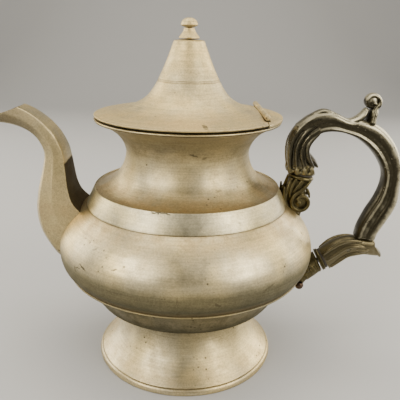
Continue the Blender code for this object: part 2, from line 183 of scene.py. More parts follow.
def turned(name, section, steps=TURN_STEPS, axis_x=0.0, wobble=True):
    """Solid of revolution about a vertical line from a closed radius-height section."""
    form = bmesh.new()
    loops = []
    for r, z in section:
        if r < 1e-6:
            loops.append([form.verts.new((axis_x, 0.0, z))])
            continue
        ring = [(axis_x + r * c, r * s, z) for c, s in circle(steps)]
        loops.append([form.verts.new(hand_wobble(point) if wobble else point) for point in ring])
    for first, second in zip(loops, loops[1:] + loops[:1]):
        for i in range(steps):
            j = (i + 1) % steps
            if len(first) == 1 and len(second) == 1:
                continue
            if len(first) == 1:
                corners = (first[0], second[j], second[i])
            elif len(second) == 1:
                corners = (first[i], first[j], second[0])
            else:
                corners = (first[i], first[j], second[j], second[i])
            form.faces.new(corners)
    return place(name, form)


def box(name, low, high):
    form = bmesh.new()
    ring = [(low[0], low[1]), (high[0], low[1]), (high[0], high[1]), (low[0], high[1])]
    skin(form, [[(x, y, z) for x, y in ring] for z in (low[2], high[2])])
    return place(name, form)


def frame_of(direction):
    """Two unit vectors across a direction."""
    along = Vector(direction).normalized()
    across = along.cross(Vector((0.0, 1.0, 0.0)))
    if across.length < 1e-3:
        across = along.orthogonal()
    across.normalize()
    return across, along.cross(across).normalized()


def rod_rings(start, end, profile, sides=32):
    """Rings of a bar turned about the line from start to end, from pairs of distance and radius."""
    a, b = Vector(start), Vector(end)
    along = (b - a).normalized()
    across, other = frame_of(along)
    rings = []
    for distance, radius in profile:
        centre = a + along * distance
        rings.append([centre + (across * c + other * s) * radius for c, s in circle(sides)])
    return rings


def strand(form, points, radii, flat=1.0, side=None, sides=10, per_span=5):
    """Tapered bar with round ends through the points; flat scales its thickness along the side vector."""
    rows = spread([(*p, r) for p, r in zip(points, radii)], per_span)
    spots = [Vector(row[:3]) for row in rows]
    sizes = [row[3] for row in rows]
    rings = []
    last = len(spots) - 1
    for i, spot in enumerate(spots):
        along = (spots[min(i + 1, last)] - spots[max(i - 1, 0)]).normalized()
        keep = Vector(side) if side else Vector((0.0, 1.0, 0.0))
        across = along.cross(keep)
        if across.length < 0.05:
            across = along.orthogonal()
        across.normalize()
        other = across.cross(along).normalized()
        rounds = [(0.0, 1.0)]
        if i == 0:
            rounds = [(-0.85, 0.5), (-0.45, 0.88), *rounds]
        if i == last:
            rounds = [*rounds, (0.45, 0.88), (0.85, 0.5)]
        for shift, share in rounds:
            centre = spot + along * (shift * sizes[i])
            size = share * sizes[i]
            rings.append([centre + across * c * size + other * s * size * flat for c, s in circle(sides)])
    skin(form, rings)


def bead(form, centre, radius, squash=(1.0, 1.0, 1.0)):
    """Small round lump, optionally squashed along the axes."""
    move = Matrix.Translation(Vector(centre)) @ Matrix.Diagonal((*squash, 1.0))
    bmesh.ops.create_icosphere(form, subdivisions=3, radius=radius, matrix=move)


def bar(form, edges, depths, per_span=6, sides=28, power=2.5):
    """Bar between two edges in the XZ plane, in rows of x, z, x, z, with its half depths along Y."""
    rings = []
    for x1, z1, x2, z2, depth in spread([(*row, depth) for row, depth in zip(edges, depths)], per_span):
        centre = Vector(((x1 + x2) / 2, 0.0, (z1 + z2) / 2))
        half = Vector(((x2 - x1) / 2, 0.0, (z2 - z1) / 2))
        ring = []
        for k in range(sides):
            t = math.tau * (k + 0.5) / sides
            c, s = math.cos(t), math.sin(t)
            c = math.copysign(abs(c) ** (2 / power), c)
            s = math.copysign(abs(s) ** (2 / power), s)
            ring.append(centre + half * c + Vector((0.0, depth * s, 0.0)))
        rings.append(ring)
    skin(form, rings)


def apply_modifiers(piece):
    graph = bpy.context.evaluated_depsgraph_get()
    mesh = bpy.data.meshes.new_from_object(piece.evaluated_get(graph))
    piece.modifiers.clear()
    piece.data = mesh


def cut(piece, cutters):
    for cutter in cutters:
        step = piece.modifiers.new("Cut", "BOOLEAN")
        step.operation = "DIFFERENCE"
        step.object = cutter
        step.solver = "EXACT"
    apply_modifiers(piece)
    piece.data.shade_smooth()
    piece.data.set_sharp_from_angle(angle=SMOOTH_ANGLE)


def carve(piece, *cutters):
    """Cuts a piece and throws the cutters away."""
    cut(piece, cutters)
    for cutter in cutters:
        bpy.data.objects.remove(cutter)


def cast(name, form, voxel, smoothing):
    """Fuses overlapping closed forms into one soft cast surface."""
    piece = place(name, form)
    fuse = piece.modifiers.new("Fuse", "REMESH")
    fuse.mode = "VOXEL"
    fuse.voxel_size = voxel * MM
    soft = piece.modifiers.new("Soften", "SMOOTH")
    soft.factor = 0.5
    soft.iterations = smoothing
    apply_modifiers(piece)
    piece.data.shade_smooth()
    return piece


# ---- node material helpers


class Nodes:
    """A short way to write a node tree: inputs are numbers, colours or other nodes' sockets."""

    def __init__(self, name):
        self.material = bpy.data.materials.new(name)
        self.material.use_nodes = True
        self.tree = self.material.node_tree
        self.shader = self.tree.nodes["Principled BSDF"]
        self.film = 0.0

    def add(self, kind, inputs=(), out=0, **settings):
        made = self.tree.nodes.new("ShaderNode" + kind)
        for key, value in settings.items():
            setattr(made, key, value)
        for key, value in dict(inputs).items():
            self.feed(made.inputs[key], value)
        return made.outputs[out]

    def feed(self, socket, value):
        if isinstance(value, bpy.types.NodeSocket):
            self.tree.links.new(value, socket)
        else:
            socket.default_value = value

    def math(self, operation, a, b=0.0, clamp=False):
        return self.add("Math", {0: a, 1: b}, operation=operation, use_clamp=clamp)

    def plus(self, a, b):
        return self.math("ADD", a, b)

    def times(self, a, b):
        return self.math("MULTIPLY", a, b)

    def swing(self, cloud, amount):
        """A noise about zero, from minus to plus half the amount."""
        return self.times(self.math("SUBTRACT", cloud, 0.5), amount)

    def vector(self, operation, a, b=(0.0, 0.0, 0.0), out=0):
        return self.add("VectorMath", {0: a, 1: b}, out, operation=operation)

    def scaled(self, a, amount):
        return self.add("VectorMath", {0: a, 3: amount}, operation="SCALE")

    def blend(self, share, a, b):
        """Mixes two colours."""
        a = a if isinstance(a, bpy.types.NodeSocket) else (*a, 1.0)
        b = b if isinstance(b, bpy.types.NodeSocket) else (*b, 1.0)
        return self.add("Mix", {0: share, 6: a, 7: b}, out=2, data_type="RGBA")

    def step(self, value, low, high, to_low=0.0, to_high=1.0):
        """Smooth step of a value between two limits, given in either order."""
        if low > high:
            low, high, to_low, to_high = high, low, to_high, to_low
        inputs = {0: value, 1: low, 2: high, 3: to_low, 4: to_high}
        return self.add("MapRange", inputs, interpolation_type="SMOOTHSTEP")

    def cloud(self, vector, scale, detail=3.0, roughness=0.55):
        inputs = {"Vector": vector, "Scale": scale, "Detail": detail, "Roughness": roughness}
        return self.add("TexNoise", inputs)

    def place_mm(self):
        """The point on the surface in millimetres, in the pot's frame."""
        spot = self.add("TexCoord", out=3)
        return self.scaled(spot, 1.0 / MM)

    def split(self, vector):
        parts = self.tree.nodes.new("ShaderNodeSeparateXYZ")
        self.feed(parts.inputs[0], vector)
        return parts.outputs

    def near(self, value, centre, reach):
        """1 at the centre, falling smoothly to 0 at the reach on both sides."""
        away = self.math("ABSOLUTE", self.math("SUBTRACT", value, centre))
        return self.step(away, 0.0, reach, 1.0, 0.0)

    def bump(self, height, distance_mm, strength, normal=None):
        inputs = {"Height": height, "Distance": distance_mm * MM, "Strength": strength}
        if normal is not None:
            inputs["Normal"] = normal
        return self.add("Bump", inputs)

    def cover(self, mask, amount, colour, film_colour):
        """Lays a dull film over a colour, and takes the shine away under it; the films are painted shade and
        painted dark reflection, some with real oxide and stain in them.
        """
        mask = self.times(mask, amount)
        self.film = self.math("MAXIMUM", self.film, mask)
        return self.blend(mask, colour, film_colour)

    def finish(self, colour, roughness, metallic, normal):
        self.feed(self.shader.inputs["Base Color"], colour)
        if isinstance(self.film, bpy.types.NodeSocket):
            shine = self.math("SUBTRACT", 1.0, self.times(self.film, 0.9))
            metallic = self.times(shine, metallic)
            roughness = self.math("ADD", roughness, self.times(self.film, 0.3), clamp=True)
            self.feed(self.shader.inputs["Specular IOR Level"], self.times(shine, 0.5))
        self.feed(self.shader.inputs["Metallic"], metallic)
        self.feed(self.shader.inputs["Roughness"], roughness)
        self.feed(self.shader.inputs["Normal"], normal)
        return self.material


def turning_noise(n, spot, fine, slow=0.05):
    """Noise that is fine across a turned surface and long around it, with no seam."""
    x, y, z = n.split(spot)
    far = n.math("SQRT", n.plus(n.times(x, x), n.times(y, y)))
    across = n.add("CombineXYZ", {0: n.times(z, fine), 1: n.times(far, fine), 2: n.times(x, slow)})
    inputs = {"Vector": across, "W": n.times(y, slow), "Scale": 1.0, "Detail": 3.0}
    return n.add("TexNoise", inputs, noise_dimensions="4D")


def toned(colour, *shares):
    """A colour times one share, or times a share for each channel."""
    return tuple(c * share for c, share in zip(colour, shares * 3 if len(shares) == 1 else shares))


def pewter(
    name, roughness, base=PEWTER, stain_heights=(), dark_heights=(), marks=(), stain_amount=0.5,
    under=0.6, shade_by_height=None, extra=None
):
    """Satin spun pewter: turning marks, cloudy tarnish, stained joints, pits, a few knocks and painted shade.

    Stained and dark heights are rows of centre, reach and amount; the dark heights are grime in joints and
    grooves, and painted shade under overhangs. Under is the painted shade on faces that look down, and a
    film by height is painted shade too, bare at its first height and full at its second. Extra lays a film of
    its own.
    """
    n = Nodes(name)
    spot = n.place_mm()
    height = n.split(spot)[2]
    facing = n.split(n.add("TexCoord", out=1))

    broad = n.cloud(spot, 0.022, 3.0)
    patchy = n.cloud(spot, 0.11, 5.0, 0.62)
    speckle = n.cloud(spot, 0.9, 4.0, 0.7)
    turning = turning_noise(n, spot, 1.1)
    fine_turning = turning_noise(n, spot, 3.2, 0.03)

    grey = toned(base, 0.84, 0.87, 0.95)
    warm = toned(base, 1.05, 1.01, 0.88)
    colour = n.blend(n.step(broad, 0.38, 0.62), grey, warm)
    tint = n.step(patchy, 0.42, 0.72)
    colour = n.blend(n.times(tint, 0.35 * stain_amount), colour, STAIN)
    for centre, reach, amount in stain_heights:
        mask = n.times(n.near(height, centre, reach), n.step(patchy, 0.25, 0.62))
        colour = n.blend(n.times(mask, amount), colour, STAIN)
    # painted shade: faces that look down are darkened and lose their shine, by the under amount
    painted_shade = toned(base, 0.11, 0.12, 0.12)
    drop = n.plus(n.times(facing[2], -1.0), n.swing(patchy, 0.4))
    colour = n.cover(n.step(drop, 0.02, 0.62), under, colour, painted_shade)
    # painted shade by height: a ragged band, bare at the first height and full at the second
    if shade_by_height:
        bare, covered, amount = shade_by_height
        ragged = n.swing(patchy, 6.0)
        colour = n.cover(n.step(n.plus(height, ragged), bare, covered), amount, colour, painted_shade)
    # dark heights: grime in joints and grooves, and painted shade under overhangs
    grime_and_shade = toned(STAIN, 0.30)
    for centre, reach, amount in dark_heights:
        mask = n.times(n.near(height, centre, reach), n.step(turning, 0.2, 0.6))
        colour = n.blend(n.times(mask, amount), colour, grime_and_shade)
    if extra:
        colour = extra(n, spot, facing, patchy, colour)
    streak = n.step(turning, 0.3, 0.7, -0.10, 0.10)
    mottle = n.step(speckle, 0.32, 0.68, -0.17, 0.13)
    shade = n.plus(n.plus(streak, mottle), 1.0)
    colour = n.scaled(colour, shade)

    pit_cells = n.add("TexVoronoi", {"Vector": spot, "Scale": 0.23, "Randomness": 1.0}, feature="F1")
    pit_zone = n.step(n.cloud(spot, 0.05, 2.0), 0.54, 0.66)
    pits = n.times(n.step(pit_cells, 0.09, 0.19, 1.0, 0.0), pit_zone)
    grains = n.step(n.cloud(spot, 1.5, 2.0), 0.60, 0.70)
    grains = n.times(grains, n.step(patchy, 0.44, 0.60))
    holes = n.math("MAXIMUM", pits, n.times(grains, 0.5))
    for *knocked, depth in marks:
        holes = n.math("MAXIMUM", holes, n.times(knock(n, spot, *knocked), depth))
    colour = n.blend(n.times(holes, 0.88), colour, toned(base, 0.12))

    rough = n.step(patchy, 0.3, 0.7, roughness - 0.06, roughness + 0.08)
    rough = n.math("ADD", rough, n.times(holes, 0.25), clamp=True)

    normal = n.bump(turning, 0.05, 0.35)
    normal = n.bump(fine_turning, 0.02, 0.5, normal)
    normal = n.bump(speckle, 0.04, 0.3, normal)
    normal = n.bump(n.math("SUBTRACT", 1.0, holes), 0.07, 0.6, normal)
    return n.finish(colour, rough, 0.93, normal)


def spout_stain_and_reflection(n, spot, facing, patchy, colour):
    """Brown film on the facet that faces the pot, and a grey one on the sides, thicker near the mouth: brown
    stain and grey oxide, with painted dark reflection in both.
    """
    x, _, height = n.split(spot)
    ragged = n.swing(patchy, 5.0)
    low = n.step(n.plus(height, n.times(ragged, 0.3)), 138.0, 139.5, 1.0, 0.0)
    film = n.times(n.step(facing[0], 0.4, 0.6), low)
    colour = n.cover(film, 0.98, colour, SPOUT_STAIN_AND_REFLECTION)
    sideways = n.step(n.math("ABSOLUTE", facing[1]), 0.45, 0.8)
    toward_mouth = n.step(n.plus(x, ragged), -116.0, -84.0, 0.72, 0.0)
    dull = n.times(sideways, n.plus(toward_mouth, 0.3))
    return n.cover(dull, 0.75, colour, SPOUT_OXIDE_AND_REFLECTION)


def waist_oxide_and_reflection(centre, reach, amount):
    """Thin grey film round a waist: partly oxide where a hand polishes least, partly painted dark reflection.
    """

    def lay(n, spot, facing, patchy, colour):
        height = n.split(spot)[2]
        mask = n.times(n.near(height, centre, reach), n.step(patchy, 0.2, 0.5, 0.6, 1.0))
        return n.cover(mask, amount, colour, WAIST_OXIDE_AND_REFLECTION)

    return lay


def knock(n, spot, azimuth, radius, height, length, width, tilt):
    """Mask of one ragged scratch on the surface at an azimuth, in degrees from +X, and a height."""
    turn = math.radians(azimuth)
    centre = Vector((radius * math.cos(turn), radius * math.sin(turn), height))
    around = Vector((-math.sin(turn), math.cos(turn), 0.0))
    up = Vector((0.0, 0.0, 1.0))
    lean = math.radians(tilt)
    along = around * math.cos(lean) + up * math.sin(lean)
    across = up * math.cos(lean) - around * math.sin(lean)
    ragged = n.add("TexNoise", {"Vector": spot, "Scale": 0.55, "Detail": 4.0}, out=1)
    ragged = n.vector("SUBTRACT", ragged, (0.5, 0.5, 0.5))
    ragged = n.scaled(ragged, 2.6)
    moved = n.vector("ADD", spot, ragged)
    offset = n.vector("SUBTRACT", moved, tuple(centre))
    run = n.vector("DOT_PRODUCT", offset, tuple(along / length), 1)
    rise = n.vector("DOT_PRODUCT", offset, tuple(across / width), 1)
    deep = n.vector("DOT_PRODUCT", offset, tuple(around.cross(up) / KNOCK_DEPTH), 1)
    total = n.plus(n.times(run, run), n.times(rise, rise))
    total = n.plus(total, n.times(deep, deep))
    return n.step(total, 0.55, 1.0, 1.0, 0.0)


def patinated(
    name, hollow, body, worn, roughness, wear=(0.50, 0.56), metallic=0.85, back_wear_and_sheen=0.0, olive_root=False
):
    """Cast metal, dark in its hollows, rubbed bright on raised faces, and paler where it faces out from the
    handle's middle: partly wear, partly painted highlight.
    """
    n = Nodes(name)
    spot = n.place_mm()
    shape = n.add("NewGeometry", out=7)
    patchy = n.cloud(spot, 0.16, 5.0, 0.65)
    speckle = n.cloud(spot, 1.1, 4.0, 0.7)
    raised = n.plus(shape, n.swing(speckle, 0.06))
    raised = n.plus(raised, n.swing(patchy, 0.08))
    colour = n.blend(n.step(patchy, 0.35, 0.7), body, toned(body, 0.62))
    if olive_root:
        x, _, height = n.split(spot)
        root = n.step(n.plus(height, n.times(patchy, 5.0)), 138.6, 140.4, 1.0, 0.0)
        root = n.times(root, n.step(x, 92.0, 96.0, 1.0, 0.0))
        colour = n.blend(root, colour, OLIVE)
    colour = n.blend(n.step(raised, 0.42, 0.50, 1.0, 0.0), colour, hollow)
    bright = n.times(n.step(raised, *wear), 0.75)
    # partly wear, partly painted highlight: paler where the surface faces out from the handle's middle, and
    # more so on its far side
    if back_wear_and_sheen:
        out = n.vector("SUBTRACT", spot, HANDLE_MIDDLE)
        out = n.vector("NORMALIZE", out)
        facing = n.vector("DOT_PRODUCT", out, n.add("TexCoord", out=1), 1)
        facing = n.plus(facing, n.swing(patchy, 1.3))
        side = n.step(n.split(spot)[0], 82.0, 100.0, 0.35, 1.0)
        wear_and_sheen = n.times(n.step(facing, -0.1, 0.9), side)
        bright = n.math("MAXIMUM", bright, n.times(wear_and_sheen, back_wear_and_sheen))
    colour = n.blend(bright, colour, worn)
    shade = n.step(speckle, 0.3, 0.7, 0.88, 1.12)
    colour = n.scaled(colour, shade)
    rough = n.step(patchy, 0.3, 0.7, roughness - 0.07, roughness + 0.1)
    normal = n.bump(patchy, 0.25, 0.35)
    normal = n.bump(speckle, 0.07, 0.5, normal)
    return n.finish(colour, rough, metallic, normal)


# ---- materials

PEWTERS = {
    "foot": dict(
        stain_heights=((8, 12, 0.35),),
        # painted shade under the bowl: the dark row at 44 and the film by height; the waist film is partly
        # painted dark reflection, and the row at 4.4 is grime in the joint above the rim
        dark_heights=((44, 5, 0.5), (4.4, 0.8, 0.2)),
        roughness=0.38,
        shade_by_height=(12, 36, 0.6),
        extra=waist_oxide_and_reflection(26, 20, 0.28),
    ),
    "base": dict(
        base=toned(PEWTER, 0.66),
        roughness=0.45,
        stain_amount=0.3,
        # painted shade on the bowl's underside: the under amount and the film by height
        under=0.95,
        shade_by_height=(70, 68, 0.3),
    ),
    "belly": dict(
        stain_heights=((110, 12, 0.65),),
        # painted shade on the lower belly: the dark row at 69, the under amount and the film by height; the
        # row at 111.6 is grime in the joint with the band
        dark_heights=((111.6, 1, 0.4), (69, 5, 0.6)),
        roughness=0.38,
        under=0.95,
        shade_by_height=(92, 81, 0.9),
        # azimuth, radius, height, length, width, tilt, depth
        marks=(
            (-136, 84, 88.5, 4.6, 0.6, -14, 1),
            (-139, 84, 86.6, 3.2, 0.5, 8, 0.9),
            (-141, 84, 85, 2.4, 0.6, -60, 0.9),
            (-119, 84, 93.5, 2.2, 0.5, 20, 0.7),
            (-78, 83, 78, 2.4, 1, -35, 0.9),
            (-56, 84, 83, 5, 0.8, 18, 0.55),
            (-93, 80, 71.5, 1.3, 1.2, 0, 0.9),
            (-93, 84, 80, 4.6, 0.35, 90, 0.5),
            (-132, 84, 100, 2.4, 0.9, 30, 0.5),
        ),
    ),
    "band": dict(
        base=toned(PEWTER, 0.92, 0.96, 1.02),
        dark_heights=((112, 0.8, 0.5),),
        roughness=0.40,
        marks=((-104, 61.5, 122.8, 6.5, 0.5, 0, 0.95),),
        stain_amount=0.2,
    ),
    "neck": dict(
        stain_heights=((124, 9, 0.85), (160, 8, 0.25)),
        # painted shade: the dark row at 165.5 under the rim and the under amount; the waist film is partly
        # painted dark reflection, and the row at 122.9 is grime in the joint
        dark_heights=((122.9, 0.7, 0.4), (165.5, 4, 0.3)),
        roughness=0.37,
        under=0.65,
        extra=waist_oxide_and_reflection(147, 20, 0.42),
        marks=(
            (-85, 41, 152, 3.2, 0.6, -25, 0.9),
            (-76, 41, 150, 1.6, 0.7, 10, 0.6),
            (-66, 50, 131, 3, 0.7, -5, 0.5),
        ),
    ),
    "lid": dict(
        base=toned(PEWTER, 1.02, 1, 0.95),
        stain_heights=((171.5, 5, 0.45),),
        dark_heights=((190.9, 0.9, 0.35), (215, 1.2, 0.4)),
        roughness=0.54,
        marks=((-80, 55, 171, 1.6, 0.9, 0, 0.8),),
    ),
    "spout": dict(
        base=toned(PEWTER, 0.85),
        stain_heights=((108, 9, 0.5),),
        roughness=0.38,
        stain_amount=0.6,
        extra=spout_stain_and_reflection,
    ),
    "inside": dict(base=toned(PEWTER, 0.5), roughness=0.5, stain_amount=0.8),
}
MATERIALS = {look: pewter(look + "_pewter", **how) for look, how in PEWTERS.items()}
MATERIALS |= {
    "grip": patinated(
        "blackened_metal",
        (0.005, 0.004, 0.003),
        (0.040, 0.034, 0.019),
        (0.52, 0.475, 0.33),
        0.30,
        wear=(0.56, 0.72),
        back_wear_and_sheen=0.9,
        olive_root=True,
    ),
    "socket": patinated(
        "gilt_bronze",
        (0.016, 0.013, 0.005),
        OLIVE,
        (0.44, 0.38, 0.20),
        0.35,
        wear=(0.53, 0.68),
    ),
    "arm": patinated(
        "olive_bronze",
        (0.012, 0.010, 0.005),
        (0.12, 0.10, 0.052),
        (0.40, 0.35, 0.22),
        0.33,
        wear=(0.53, 0.62),
        back_wear_and_sheen=0.5,
    ),
    "copper": patinated(
        "browned_copper", (0.02, 0.011, 0.007), (0.06, 0.036, 0.022), (0.20, 0.13, 0.085), 0.38
    ),
    "horn": patinated(
        "dark_horn", (0.01, 0.008, 0.006), (0.022, 0.017, 0.012), (0.04, 0.032, 0.024), 0.5, metallic=0.0
    ),
    "steel": patinated("plain_steel", (0.10, 0.09, 0.08), (0.34, 0.33, 0.31), (0.55, 0.54, 0.52), 0.35),
}


def dress(piece, look, slot, *nodes, body="pot"):
    """Gives a piece its material, the CAD nodes that it stands for and its body; the slot is not used."""
    piece.data.materials.clear()
    piece.data.materials.append(MATERIALS[look])
    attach(piece, body)
    if nodes:
        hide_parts(*nodes)
    return piece


# ---- outlines of the turned body

BELLY_POINTS = [(79.1, 68.3), (83.6, 74), (85.2, 81.5), (83.8, 90.5), (79.3, 98.8)]
BELLY_POINTS += [(73.2, 105.6), (66.4, 111.6)]
NECK_POINTS = [
    (60.5, 122.95),
    (55.6, 124),
    (50, 127.2),
    (45.4, 131.6),
    (42, 137.4),
    (40.2, 144.5),
    (40.8, 149.6),
    (43.3, 155),
    (47.9, 160),
    (53.6, 163.8),
    (59.6, 166.3),
]
LID_POINTS = [
    (59.8, 169.9),
    (50.5, 171.7),
    (42, 173.3),
    (33.8, 176),
    (27, 180.2),
    (22.6, 185.4),
    (19.6, 190.6),
    (16.2, 197.6),
    (12.6, 206.2),
    (9.6, 214.2),
]
FOOT_POINTS = [(59.8, 4.35), (54.2, 9.4), (47, 17), (41.2, 27), (38.5, 37), (38.2, 44.2)]
BASE_POINTS = [(70.5, 66.2), (67.3, 58), (64.7, 52), (61.7, 47), (59.8, 45.2), (56.5, 44.6)]


def groove(outline, heights, depth, half_width):
    """Cuts narrow grooves into an outline of radius-height points at the given heights."""
    out = []
    for first, second in zip(outline, outline[1:]):
        out.append(first)
        for level in heights:
            if min(first[1], second[1]) < level <= max(first[1], second[1]):
                share = (level - first[1]) / (second[1] - first[1])
                middle = Vector(first).lerp(Vector(second), share)
                along = (Vector(second) - Vector(first)).normalized()
                inward = Vector((-along.y, along.x))
                out.append(tuple(middle - along * half_width))
                out.append(tuple(middle + inward * depth))
                out.append(tuple(middle + along * half_width))
    out.append(outline[-1])
    return out


def make_foot():
    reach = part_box("foot_ring")[1].x / MM
    ring = [(reach, 0), (reach, 1.9), (reach - 0.9, 3.9), (reach - 2.6, 4.3), (57.5, 4.3), (57.5, 0)]
    dress(turned("foot_rim", soften(ring, 0.9)), "foot", "pewter", "foot_ring")
    outline = spread(FOOT_POINTS, 8)
    section = soften(thicken(outline, WALL), EDGE)
    dress(turned("foot_shell", section), "foot", "pewter", "foot")


def make_base():
    outline = [(79.1, 67.2), *BASE_POINTS]
    outer = [outline[0], *spread(BASE_POINTS, 4)]
    full = thicken(outer, -WALL)
    inner = full[len(outer) : -1]
    centre = [(0, 44.6), (0, 45.9)]
    lip = [(79.2, 68.25), (79.75, 68.1), (79.95, 67.6), (79.75, 67.15), (79.1, 67)]
    section = [*lip, *outer[1:], *centre, *inner, (77.1, 68.25)]
    dress(turned("body_lower_bowl", section), "base", "dull_pewter", "body_base")


STRAINER_ROWS = (2, 3, 4, 3, 2)
STRAINER_LOW = 78
STRAINER_PITCH = 6
STRAINER_RISE = 5.4
STRAINER_HOLE = 1.4


def strainer_drills():
    """Drills for the rows of strainer holes in the belly's wall, under the spout."""
    form = bmesh.new()
    start, length = -90, 16
    for row, count in enumerate(STRAINER_ROWS):
        z = STRAINER_LOW + row * STRAINER_RISE
        for k in range(count):
            y = (k - (count - 1) / 2) * STRAINER_PITCH
            profile = [(0, STRAINER_HOLE), (length, STRAINER_HOLE)]
            skin(form, rod_rings((start, y, z), (start + length, y, z), profile, 16))
    return place("strainer_drills", form)


def make_belly():
    outline = spread(BELLY_POINTS, 8)
    section = soften(thicken(outline, WALL), EDGE)
    belly = turned("body_belly_shell", section)
    carve(belly, strainer_drills())
    dress(belly, "belly", "pewter", "body_belly")


def make_band():
    section = [(66.5, 111.8), (60.95, 123.3), (60.45, 123.3), (60.45, 121.6), (64.4, 111.8)]
    dress(turned("shoulder_band_ring", soften(section, 0.22)), "band", "pewter", "shoulder_band")


def make_neck():
    outline = spread(NECK_POINTS, 8)
    section = soften(thicken(outline, WALL - 0.1), EDGE)
    dress(turned("neck_shell", section), "neck", "pewter", "neck")
    rim = [(57.2, 166.6), (59.8, 166.6), (59.9, 167.6), (57.2, 167.6)]
    dress(turned("neck_rim_ring", soften(rim, 0.4)), "neck", "pewter", "neck_rim")


# ---- lid and hinge

HINGE_X = 46.8
HINGE_Z = 172.7
BARREL_HALF = 31
MIDDLE_HALF = 10
BARREL_RADIUS = 1.7
BARREL_BORE = 0.95
BARREL_EDGE = 0.25
CUT_LOW, CUT_HIGH, CUT_SIDE = 150, 190, 80  # cutters that reach past the lid's rim


def barrel_notch(low_x, high_x):
    """Room for the hinge barrel in the lid and in the leaf."""
    half = BARREL_HALF + GAP
    return box("notch", (low_x, -half, CUT_LOW), (high_x, half, CUT_HIGH))


def make_lid():
    plain = spread(LID_POINTS, 8)
    outer = groove(plain, (190.3, 191.5), 0.3, 0.28)
    inner = [point for point in thicken(plain, WALL - 0.1)[len(plain) :] if point[0] < 56.5]
    top = [(9.2, 214.7), (6, 215.2), (1.9, 215.5), (1.9, 214.3), (6, 214)]
    edge = [(58.2, 168.9), (59.5, 168.9)]
    section = soften([*edge, *outer, *top, *inner], EDGE, sharpest=50)
    shell = turned("lid_shell", section)
    chord = box("chord", (HINGE_X - GAP, -CUT_SIDE, CUT_LOW), (CUT_SIDE, CUT_SIDE, CUT_HIGH))
    carve(shell, chord, barrel_notch(HINGE_X - 2, 60))
    dress(shell, "lid", "pewter", "lid", body="lid")
    ring = [(44.5, 170.6), (43.5, 170.6), (42.7, 162.4), (43.7, 162.4)]
    dress(turned("lid_locating_ring", soften(ring, 0.3)), "inside", "dull_pewter", "lid_bezel", body="lid")


def make_finial():
    base = [(1.9, 215.8), (6.4, 215.8), (6.4, 216.7), (4.9, 218.4), (3.7, 220.2), (3.2, 222.2), (1.9, 222.2)]
    foot = turned("finial_foot", soften(base, 0.5), 48, wobble=False)
    dress(foot, "lid", "pewter", "finial_base", body="lid")
    knob = [(0, 206.4), (1.5, 206.4), (1.5, 222.5), (3, 222.5), (5.1, 223.4), (5.2, 224.3), (4.6, 225.9)]
    knob += [(3.5, 227.1), (1.8, 227.85), (0, 228)]
    cap = turned("finial_cap", soften(knob, 0.6), 48, wobble=False)
    dress(cap, "lid", "pewter", "finial_knob", body="lid")


def make_hinge():
    leaf = [(40, 167.9), (60.2, 167.9), (60.4, 169.6), (55, 171.1), (50.5, 171.9), (40, 173.8)]
    fixed = turned("hinge_leaf_plate", soften(leaf, 0.4), wobble=False)
    lid_side = box("lid_side", (-CUT_SIDE, -CUT_SIDE, CUT_LOW), (HINGE_X + GAP, CUT_SIDE, CUT_HIGH))
    carve(fixed, lid_side, barrel_notch(0, HINGE_X + 2))
    dress(fixed, "lid", "pewter", "hinge_leaf")

    barrels = (
        ("hinge_barrel_middle", -MIDDLE_HALF, MIDDLE_HALF, "pot", "hinge_knuckle_fixed"),
        ("hinge_barrel_front", -BARREL_HALF, -MIDDLE_HALF - GAP, "lid", "lid_knuckle_front"),
        ("hinge_barrel_rear", MIDDLE_HALF + GAP, BARREL_HALF, "lid", "lid_knuckle_back"),
    )
    for name, low, high, body, node in barrels:
        long = high - low
        tip_radius = BARREL_RADIUS - 0.2
        profile = [(0, BARREL_BORE), (0, tip_radius), (BARREL_EDGE, BARREL_RADIUS)]
        profile += [(long - BARREL_EDGE, BARREL_RADIUS), (long, tip_radius), (long, BARREL_BORE)]
        form = bmesh.new()
        rings = rod_rings((HINGE_X, low, HINGE_Z), (HINGE_X, high, HINGE_Z), profile)
        skin(form, rings, looped=True)
        if body == "lid":
            end, way = (low, -1) if low < 0 else (high, 1)
            tip = Vector((HINGE_X, end, HINGE_Z))
            dome = [(-0.15, 1.64), (0.15, 1.5), (0.35, 1), (0.42, 0.3)]
            skin(form, rod_rings(tip, tip + Vector((0, way, 0)), dome))
        dress(place(name, form), "lid", "pewter", node, body=body)


# ---- spout

SPOUT_WALL = 1.5
SPOUT_ROWS = [
    # upper edge x, z, lower edge x, z, half width
    (-56, 96, -70, 71, 20),
    (-65, 104.6, -84, 71.6, 20.6),
    (-70.2, 109, -90.8, 78.4, 20),
    (-74.1, 114, -97.4, 90.8, 18.6),
    (-76.3, 121, -99.8, 103.8, 16.8),
    (-77.4, 130, -98.4, 117.2, 15.2),
    (-78.3, 139, -94.9, 131.2, 13.6),
    (-79.9, 147, -92.8, 142.6, 12.6),
    (-84, 155.4, -95.4, 150.8, 12),
    (-90.2, 162.9, -99.8, 156, 11.6),
    (-98.6, 169.4, -105.6, 159.4, 11.2),
    (-107.2, 173.4, -112.6, 161.6, 10.6),
    (-117.6, 176, -121.4, 162.8, 9.6),
    (-128.4, 176, -130.6, 163.4, 8),
    (-139.4, 175, -140.4, 164.2, 5.6),
]
MOUTH_RIM = [(-106.4, 172.9), (-112.4, 170.5), (-118.4, 168.1), (-126, 166.4), (-150, 165.4)]


def body_envelope():
    """The body's outer form that the spout and the sockets are fitted to."""
    line = [(0, 40), (56.5, 44.6), (61.7, 47), (64.7, 52), (67.3, 58), (70.5, 66.2)]
    line += [(79.9, 67), (79.9, 68.2), *spread(BELLY_POINTS, 5), (60.9, 123.3), (0, 123.3)]
    grown = [(r + 0.05 if r else 0, z) for r, z in line]
    return turned("body_envelope", grown, 128)


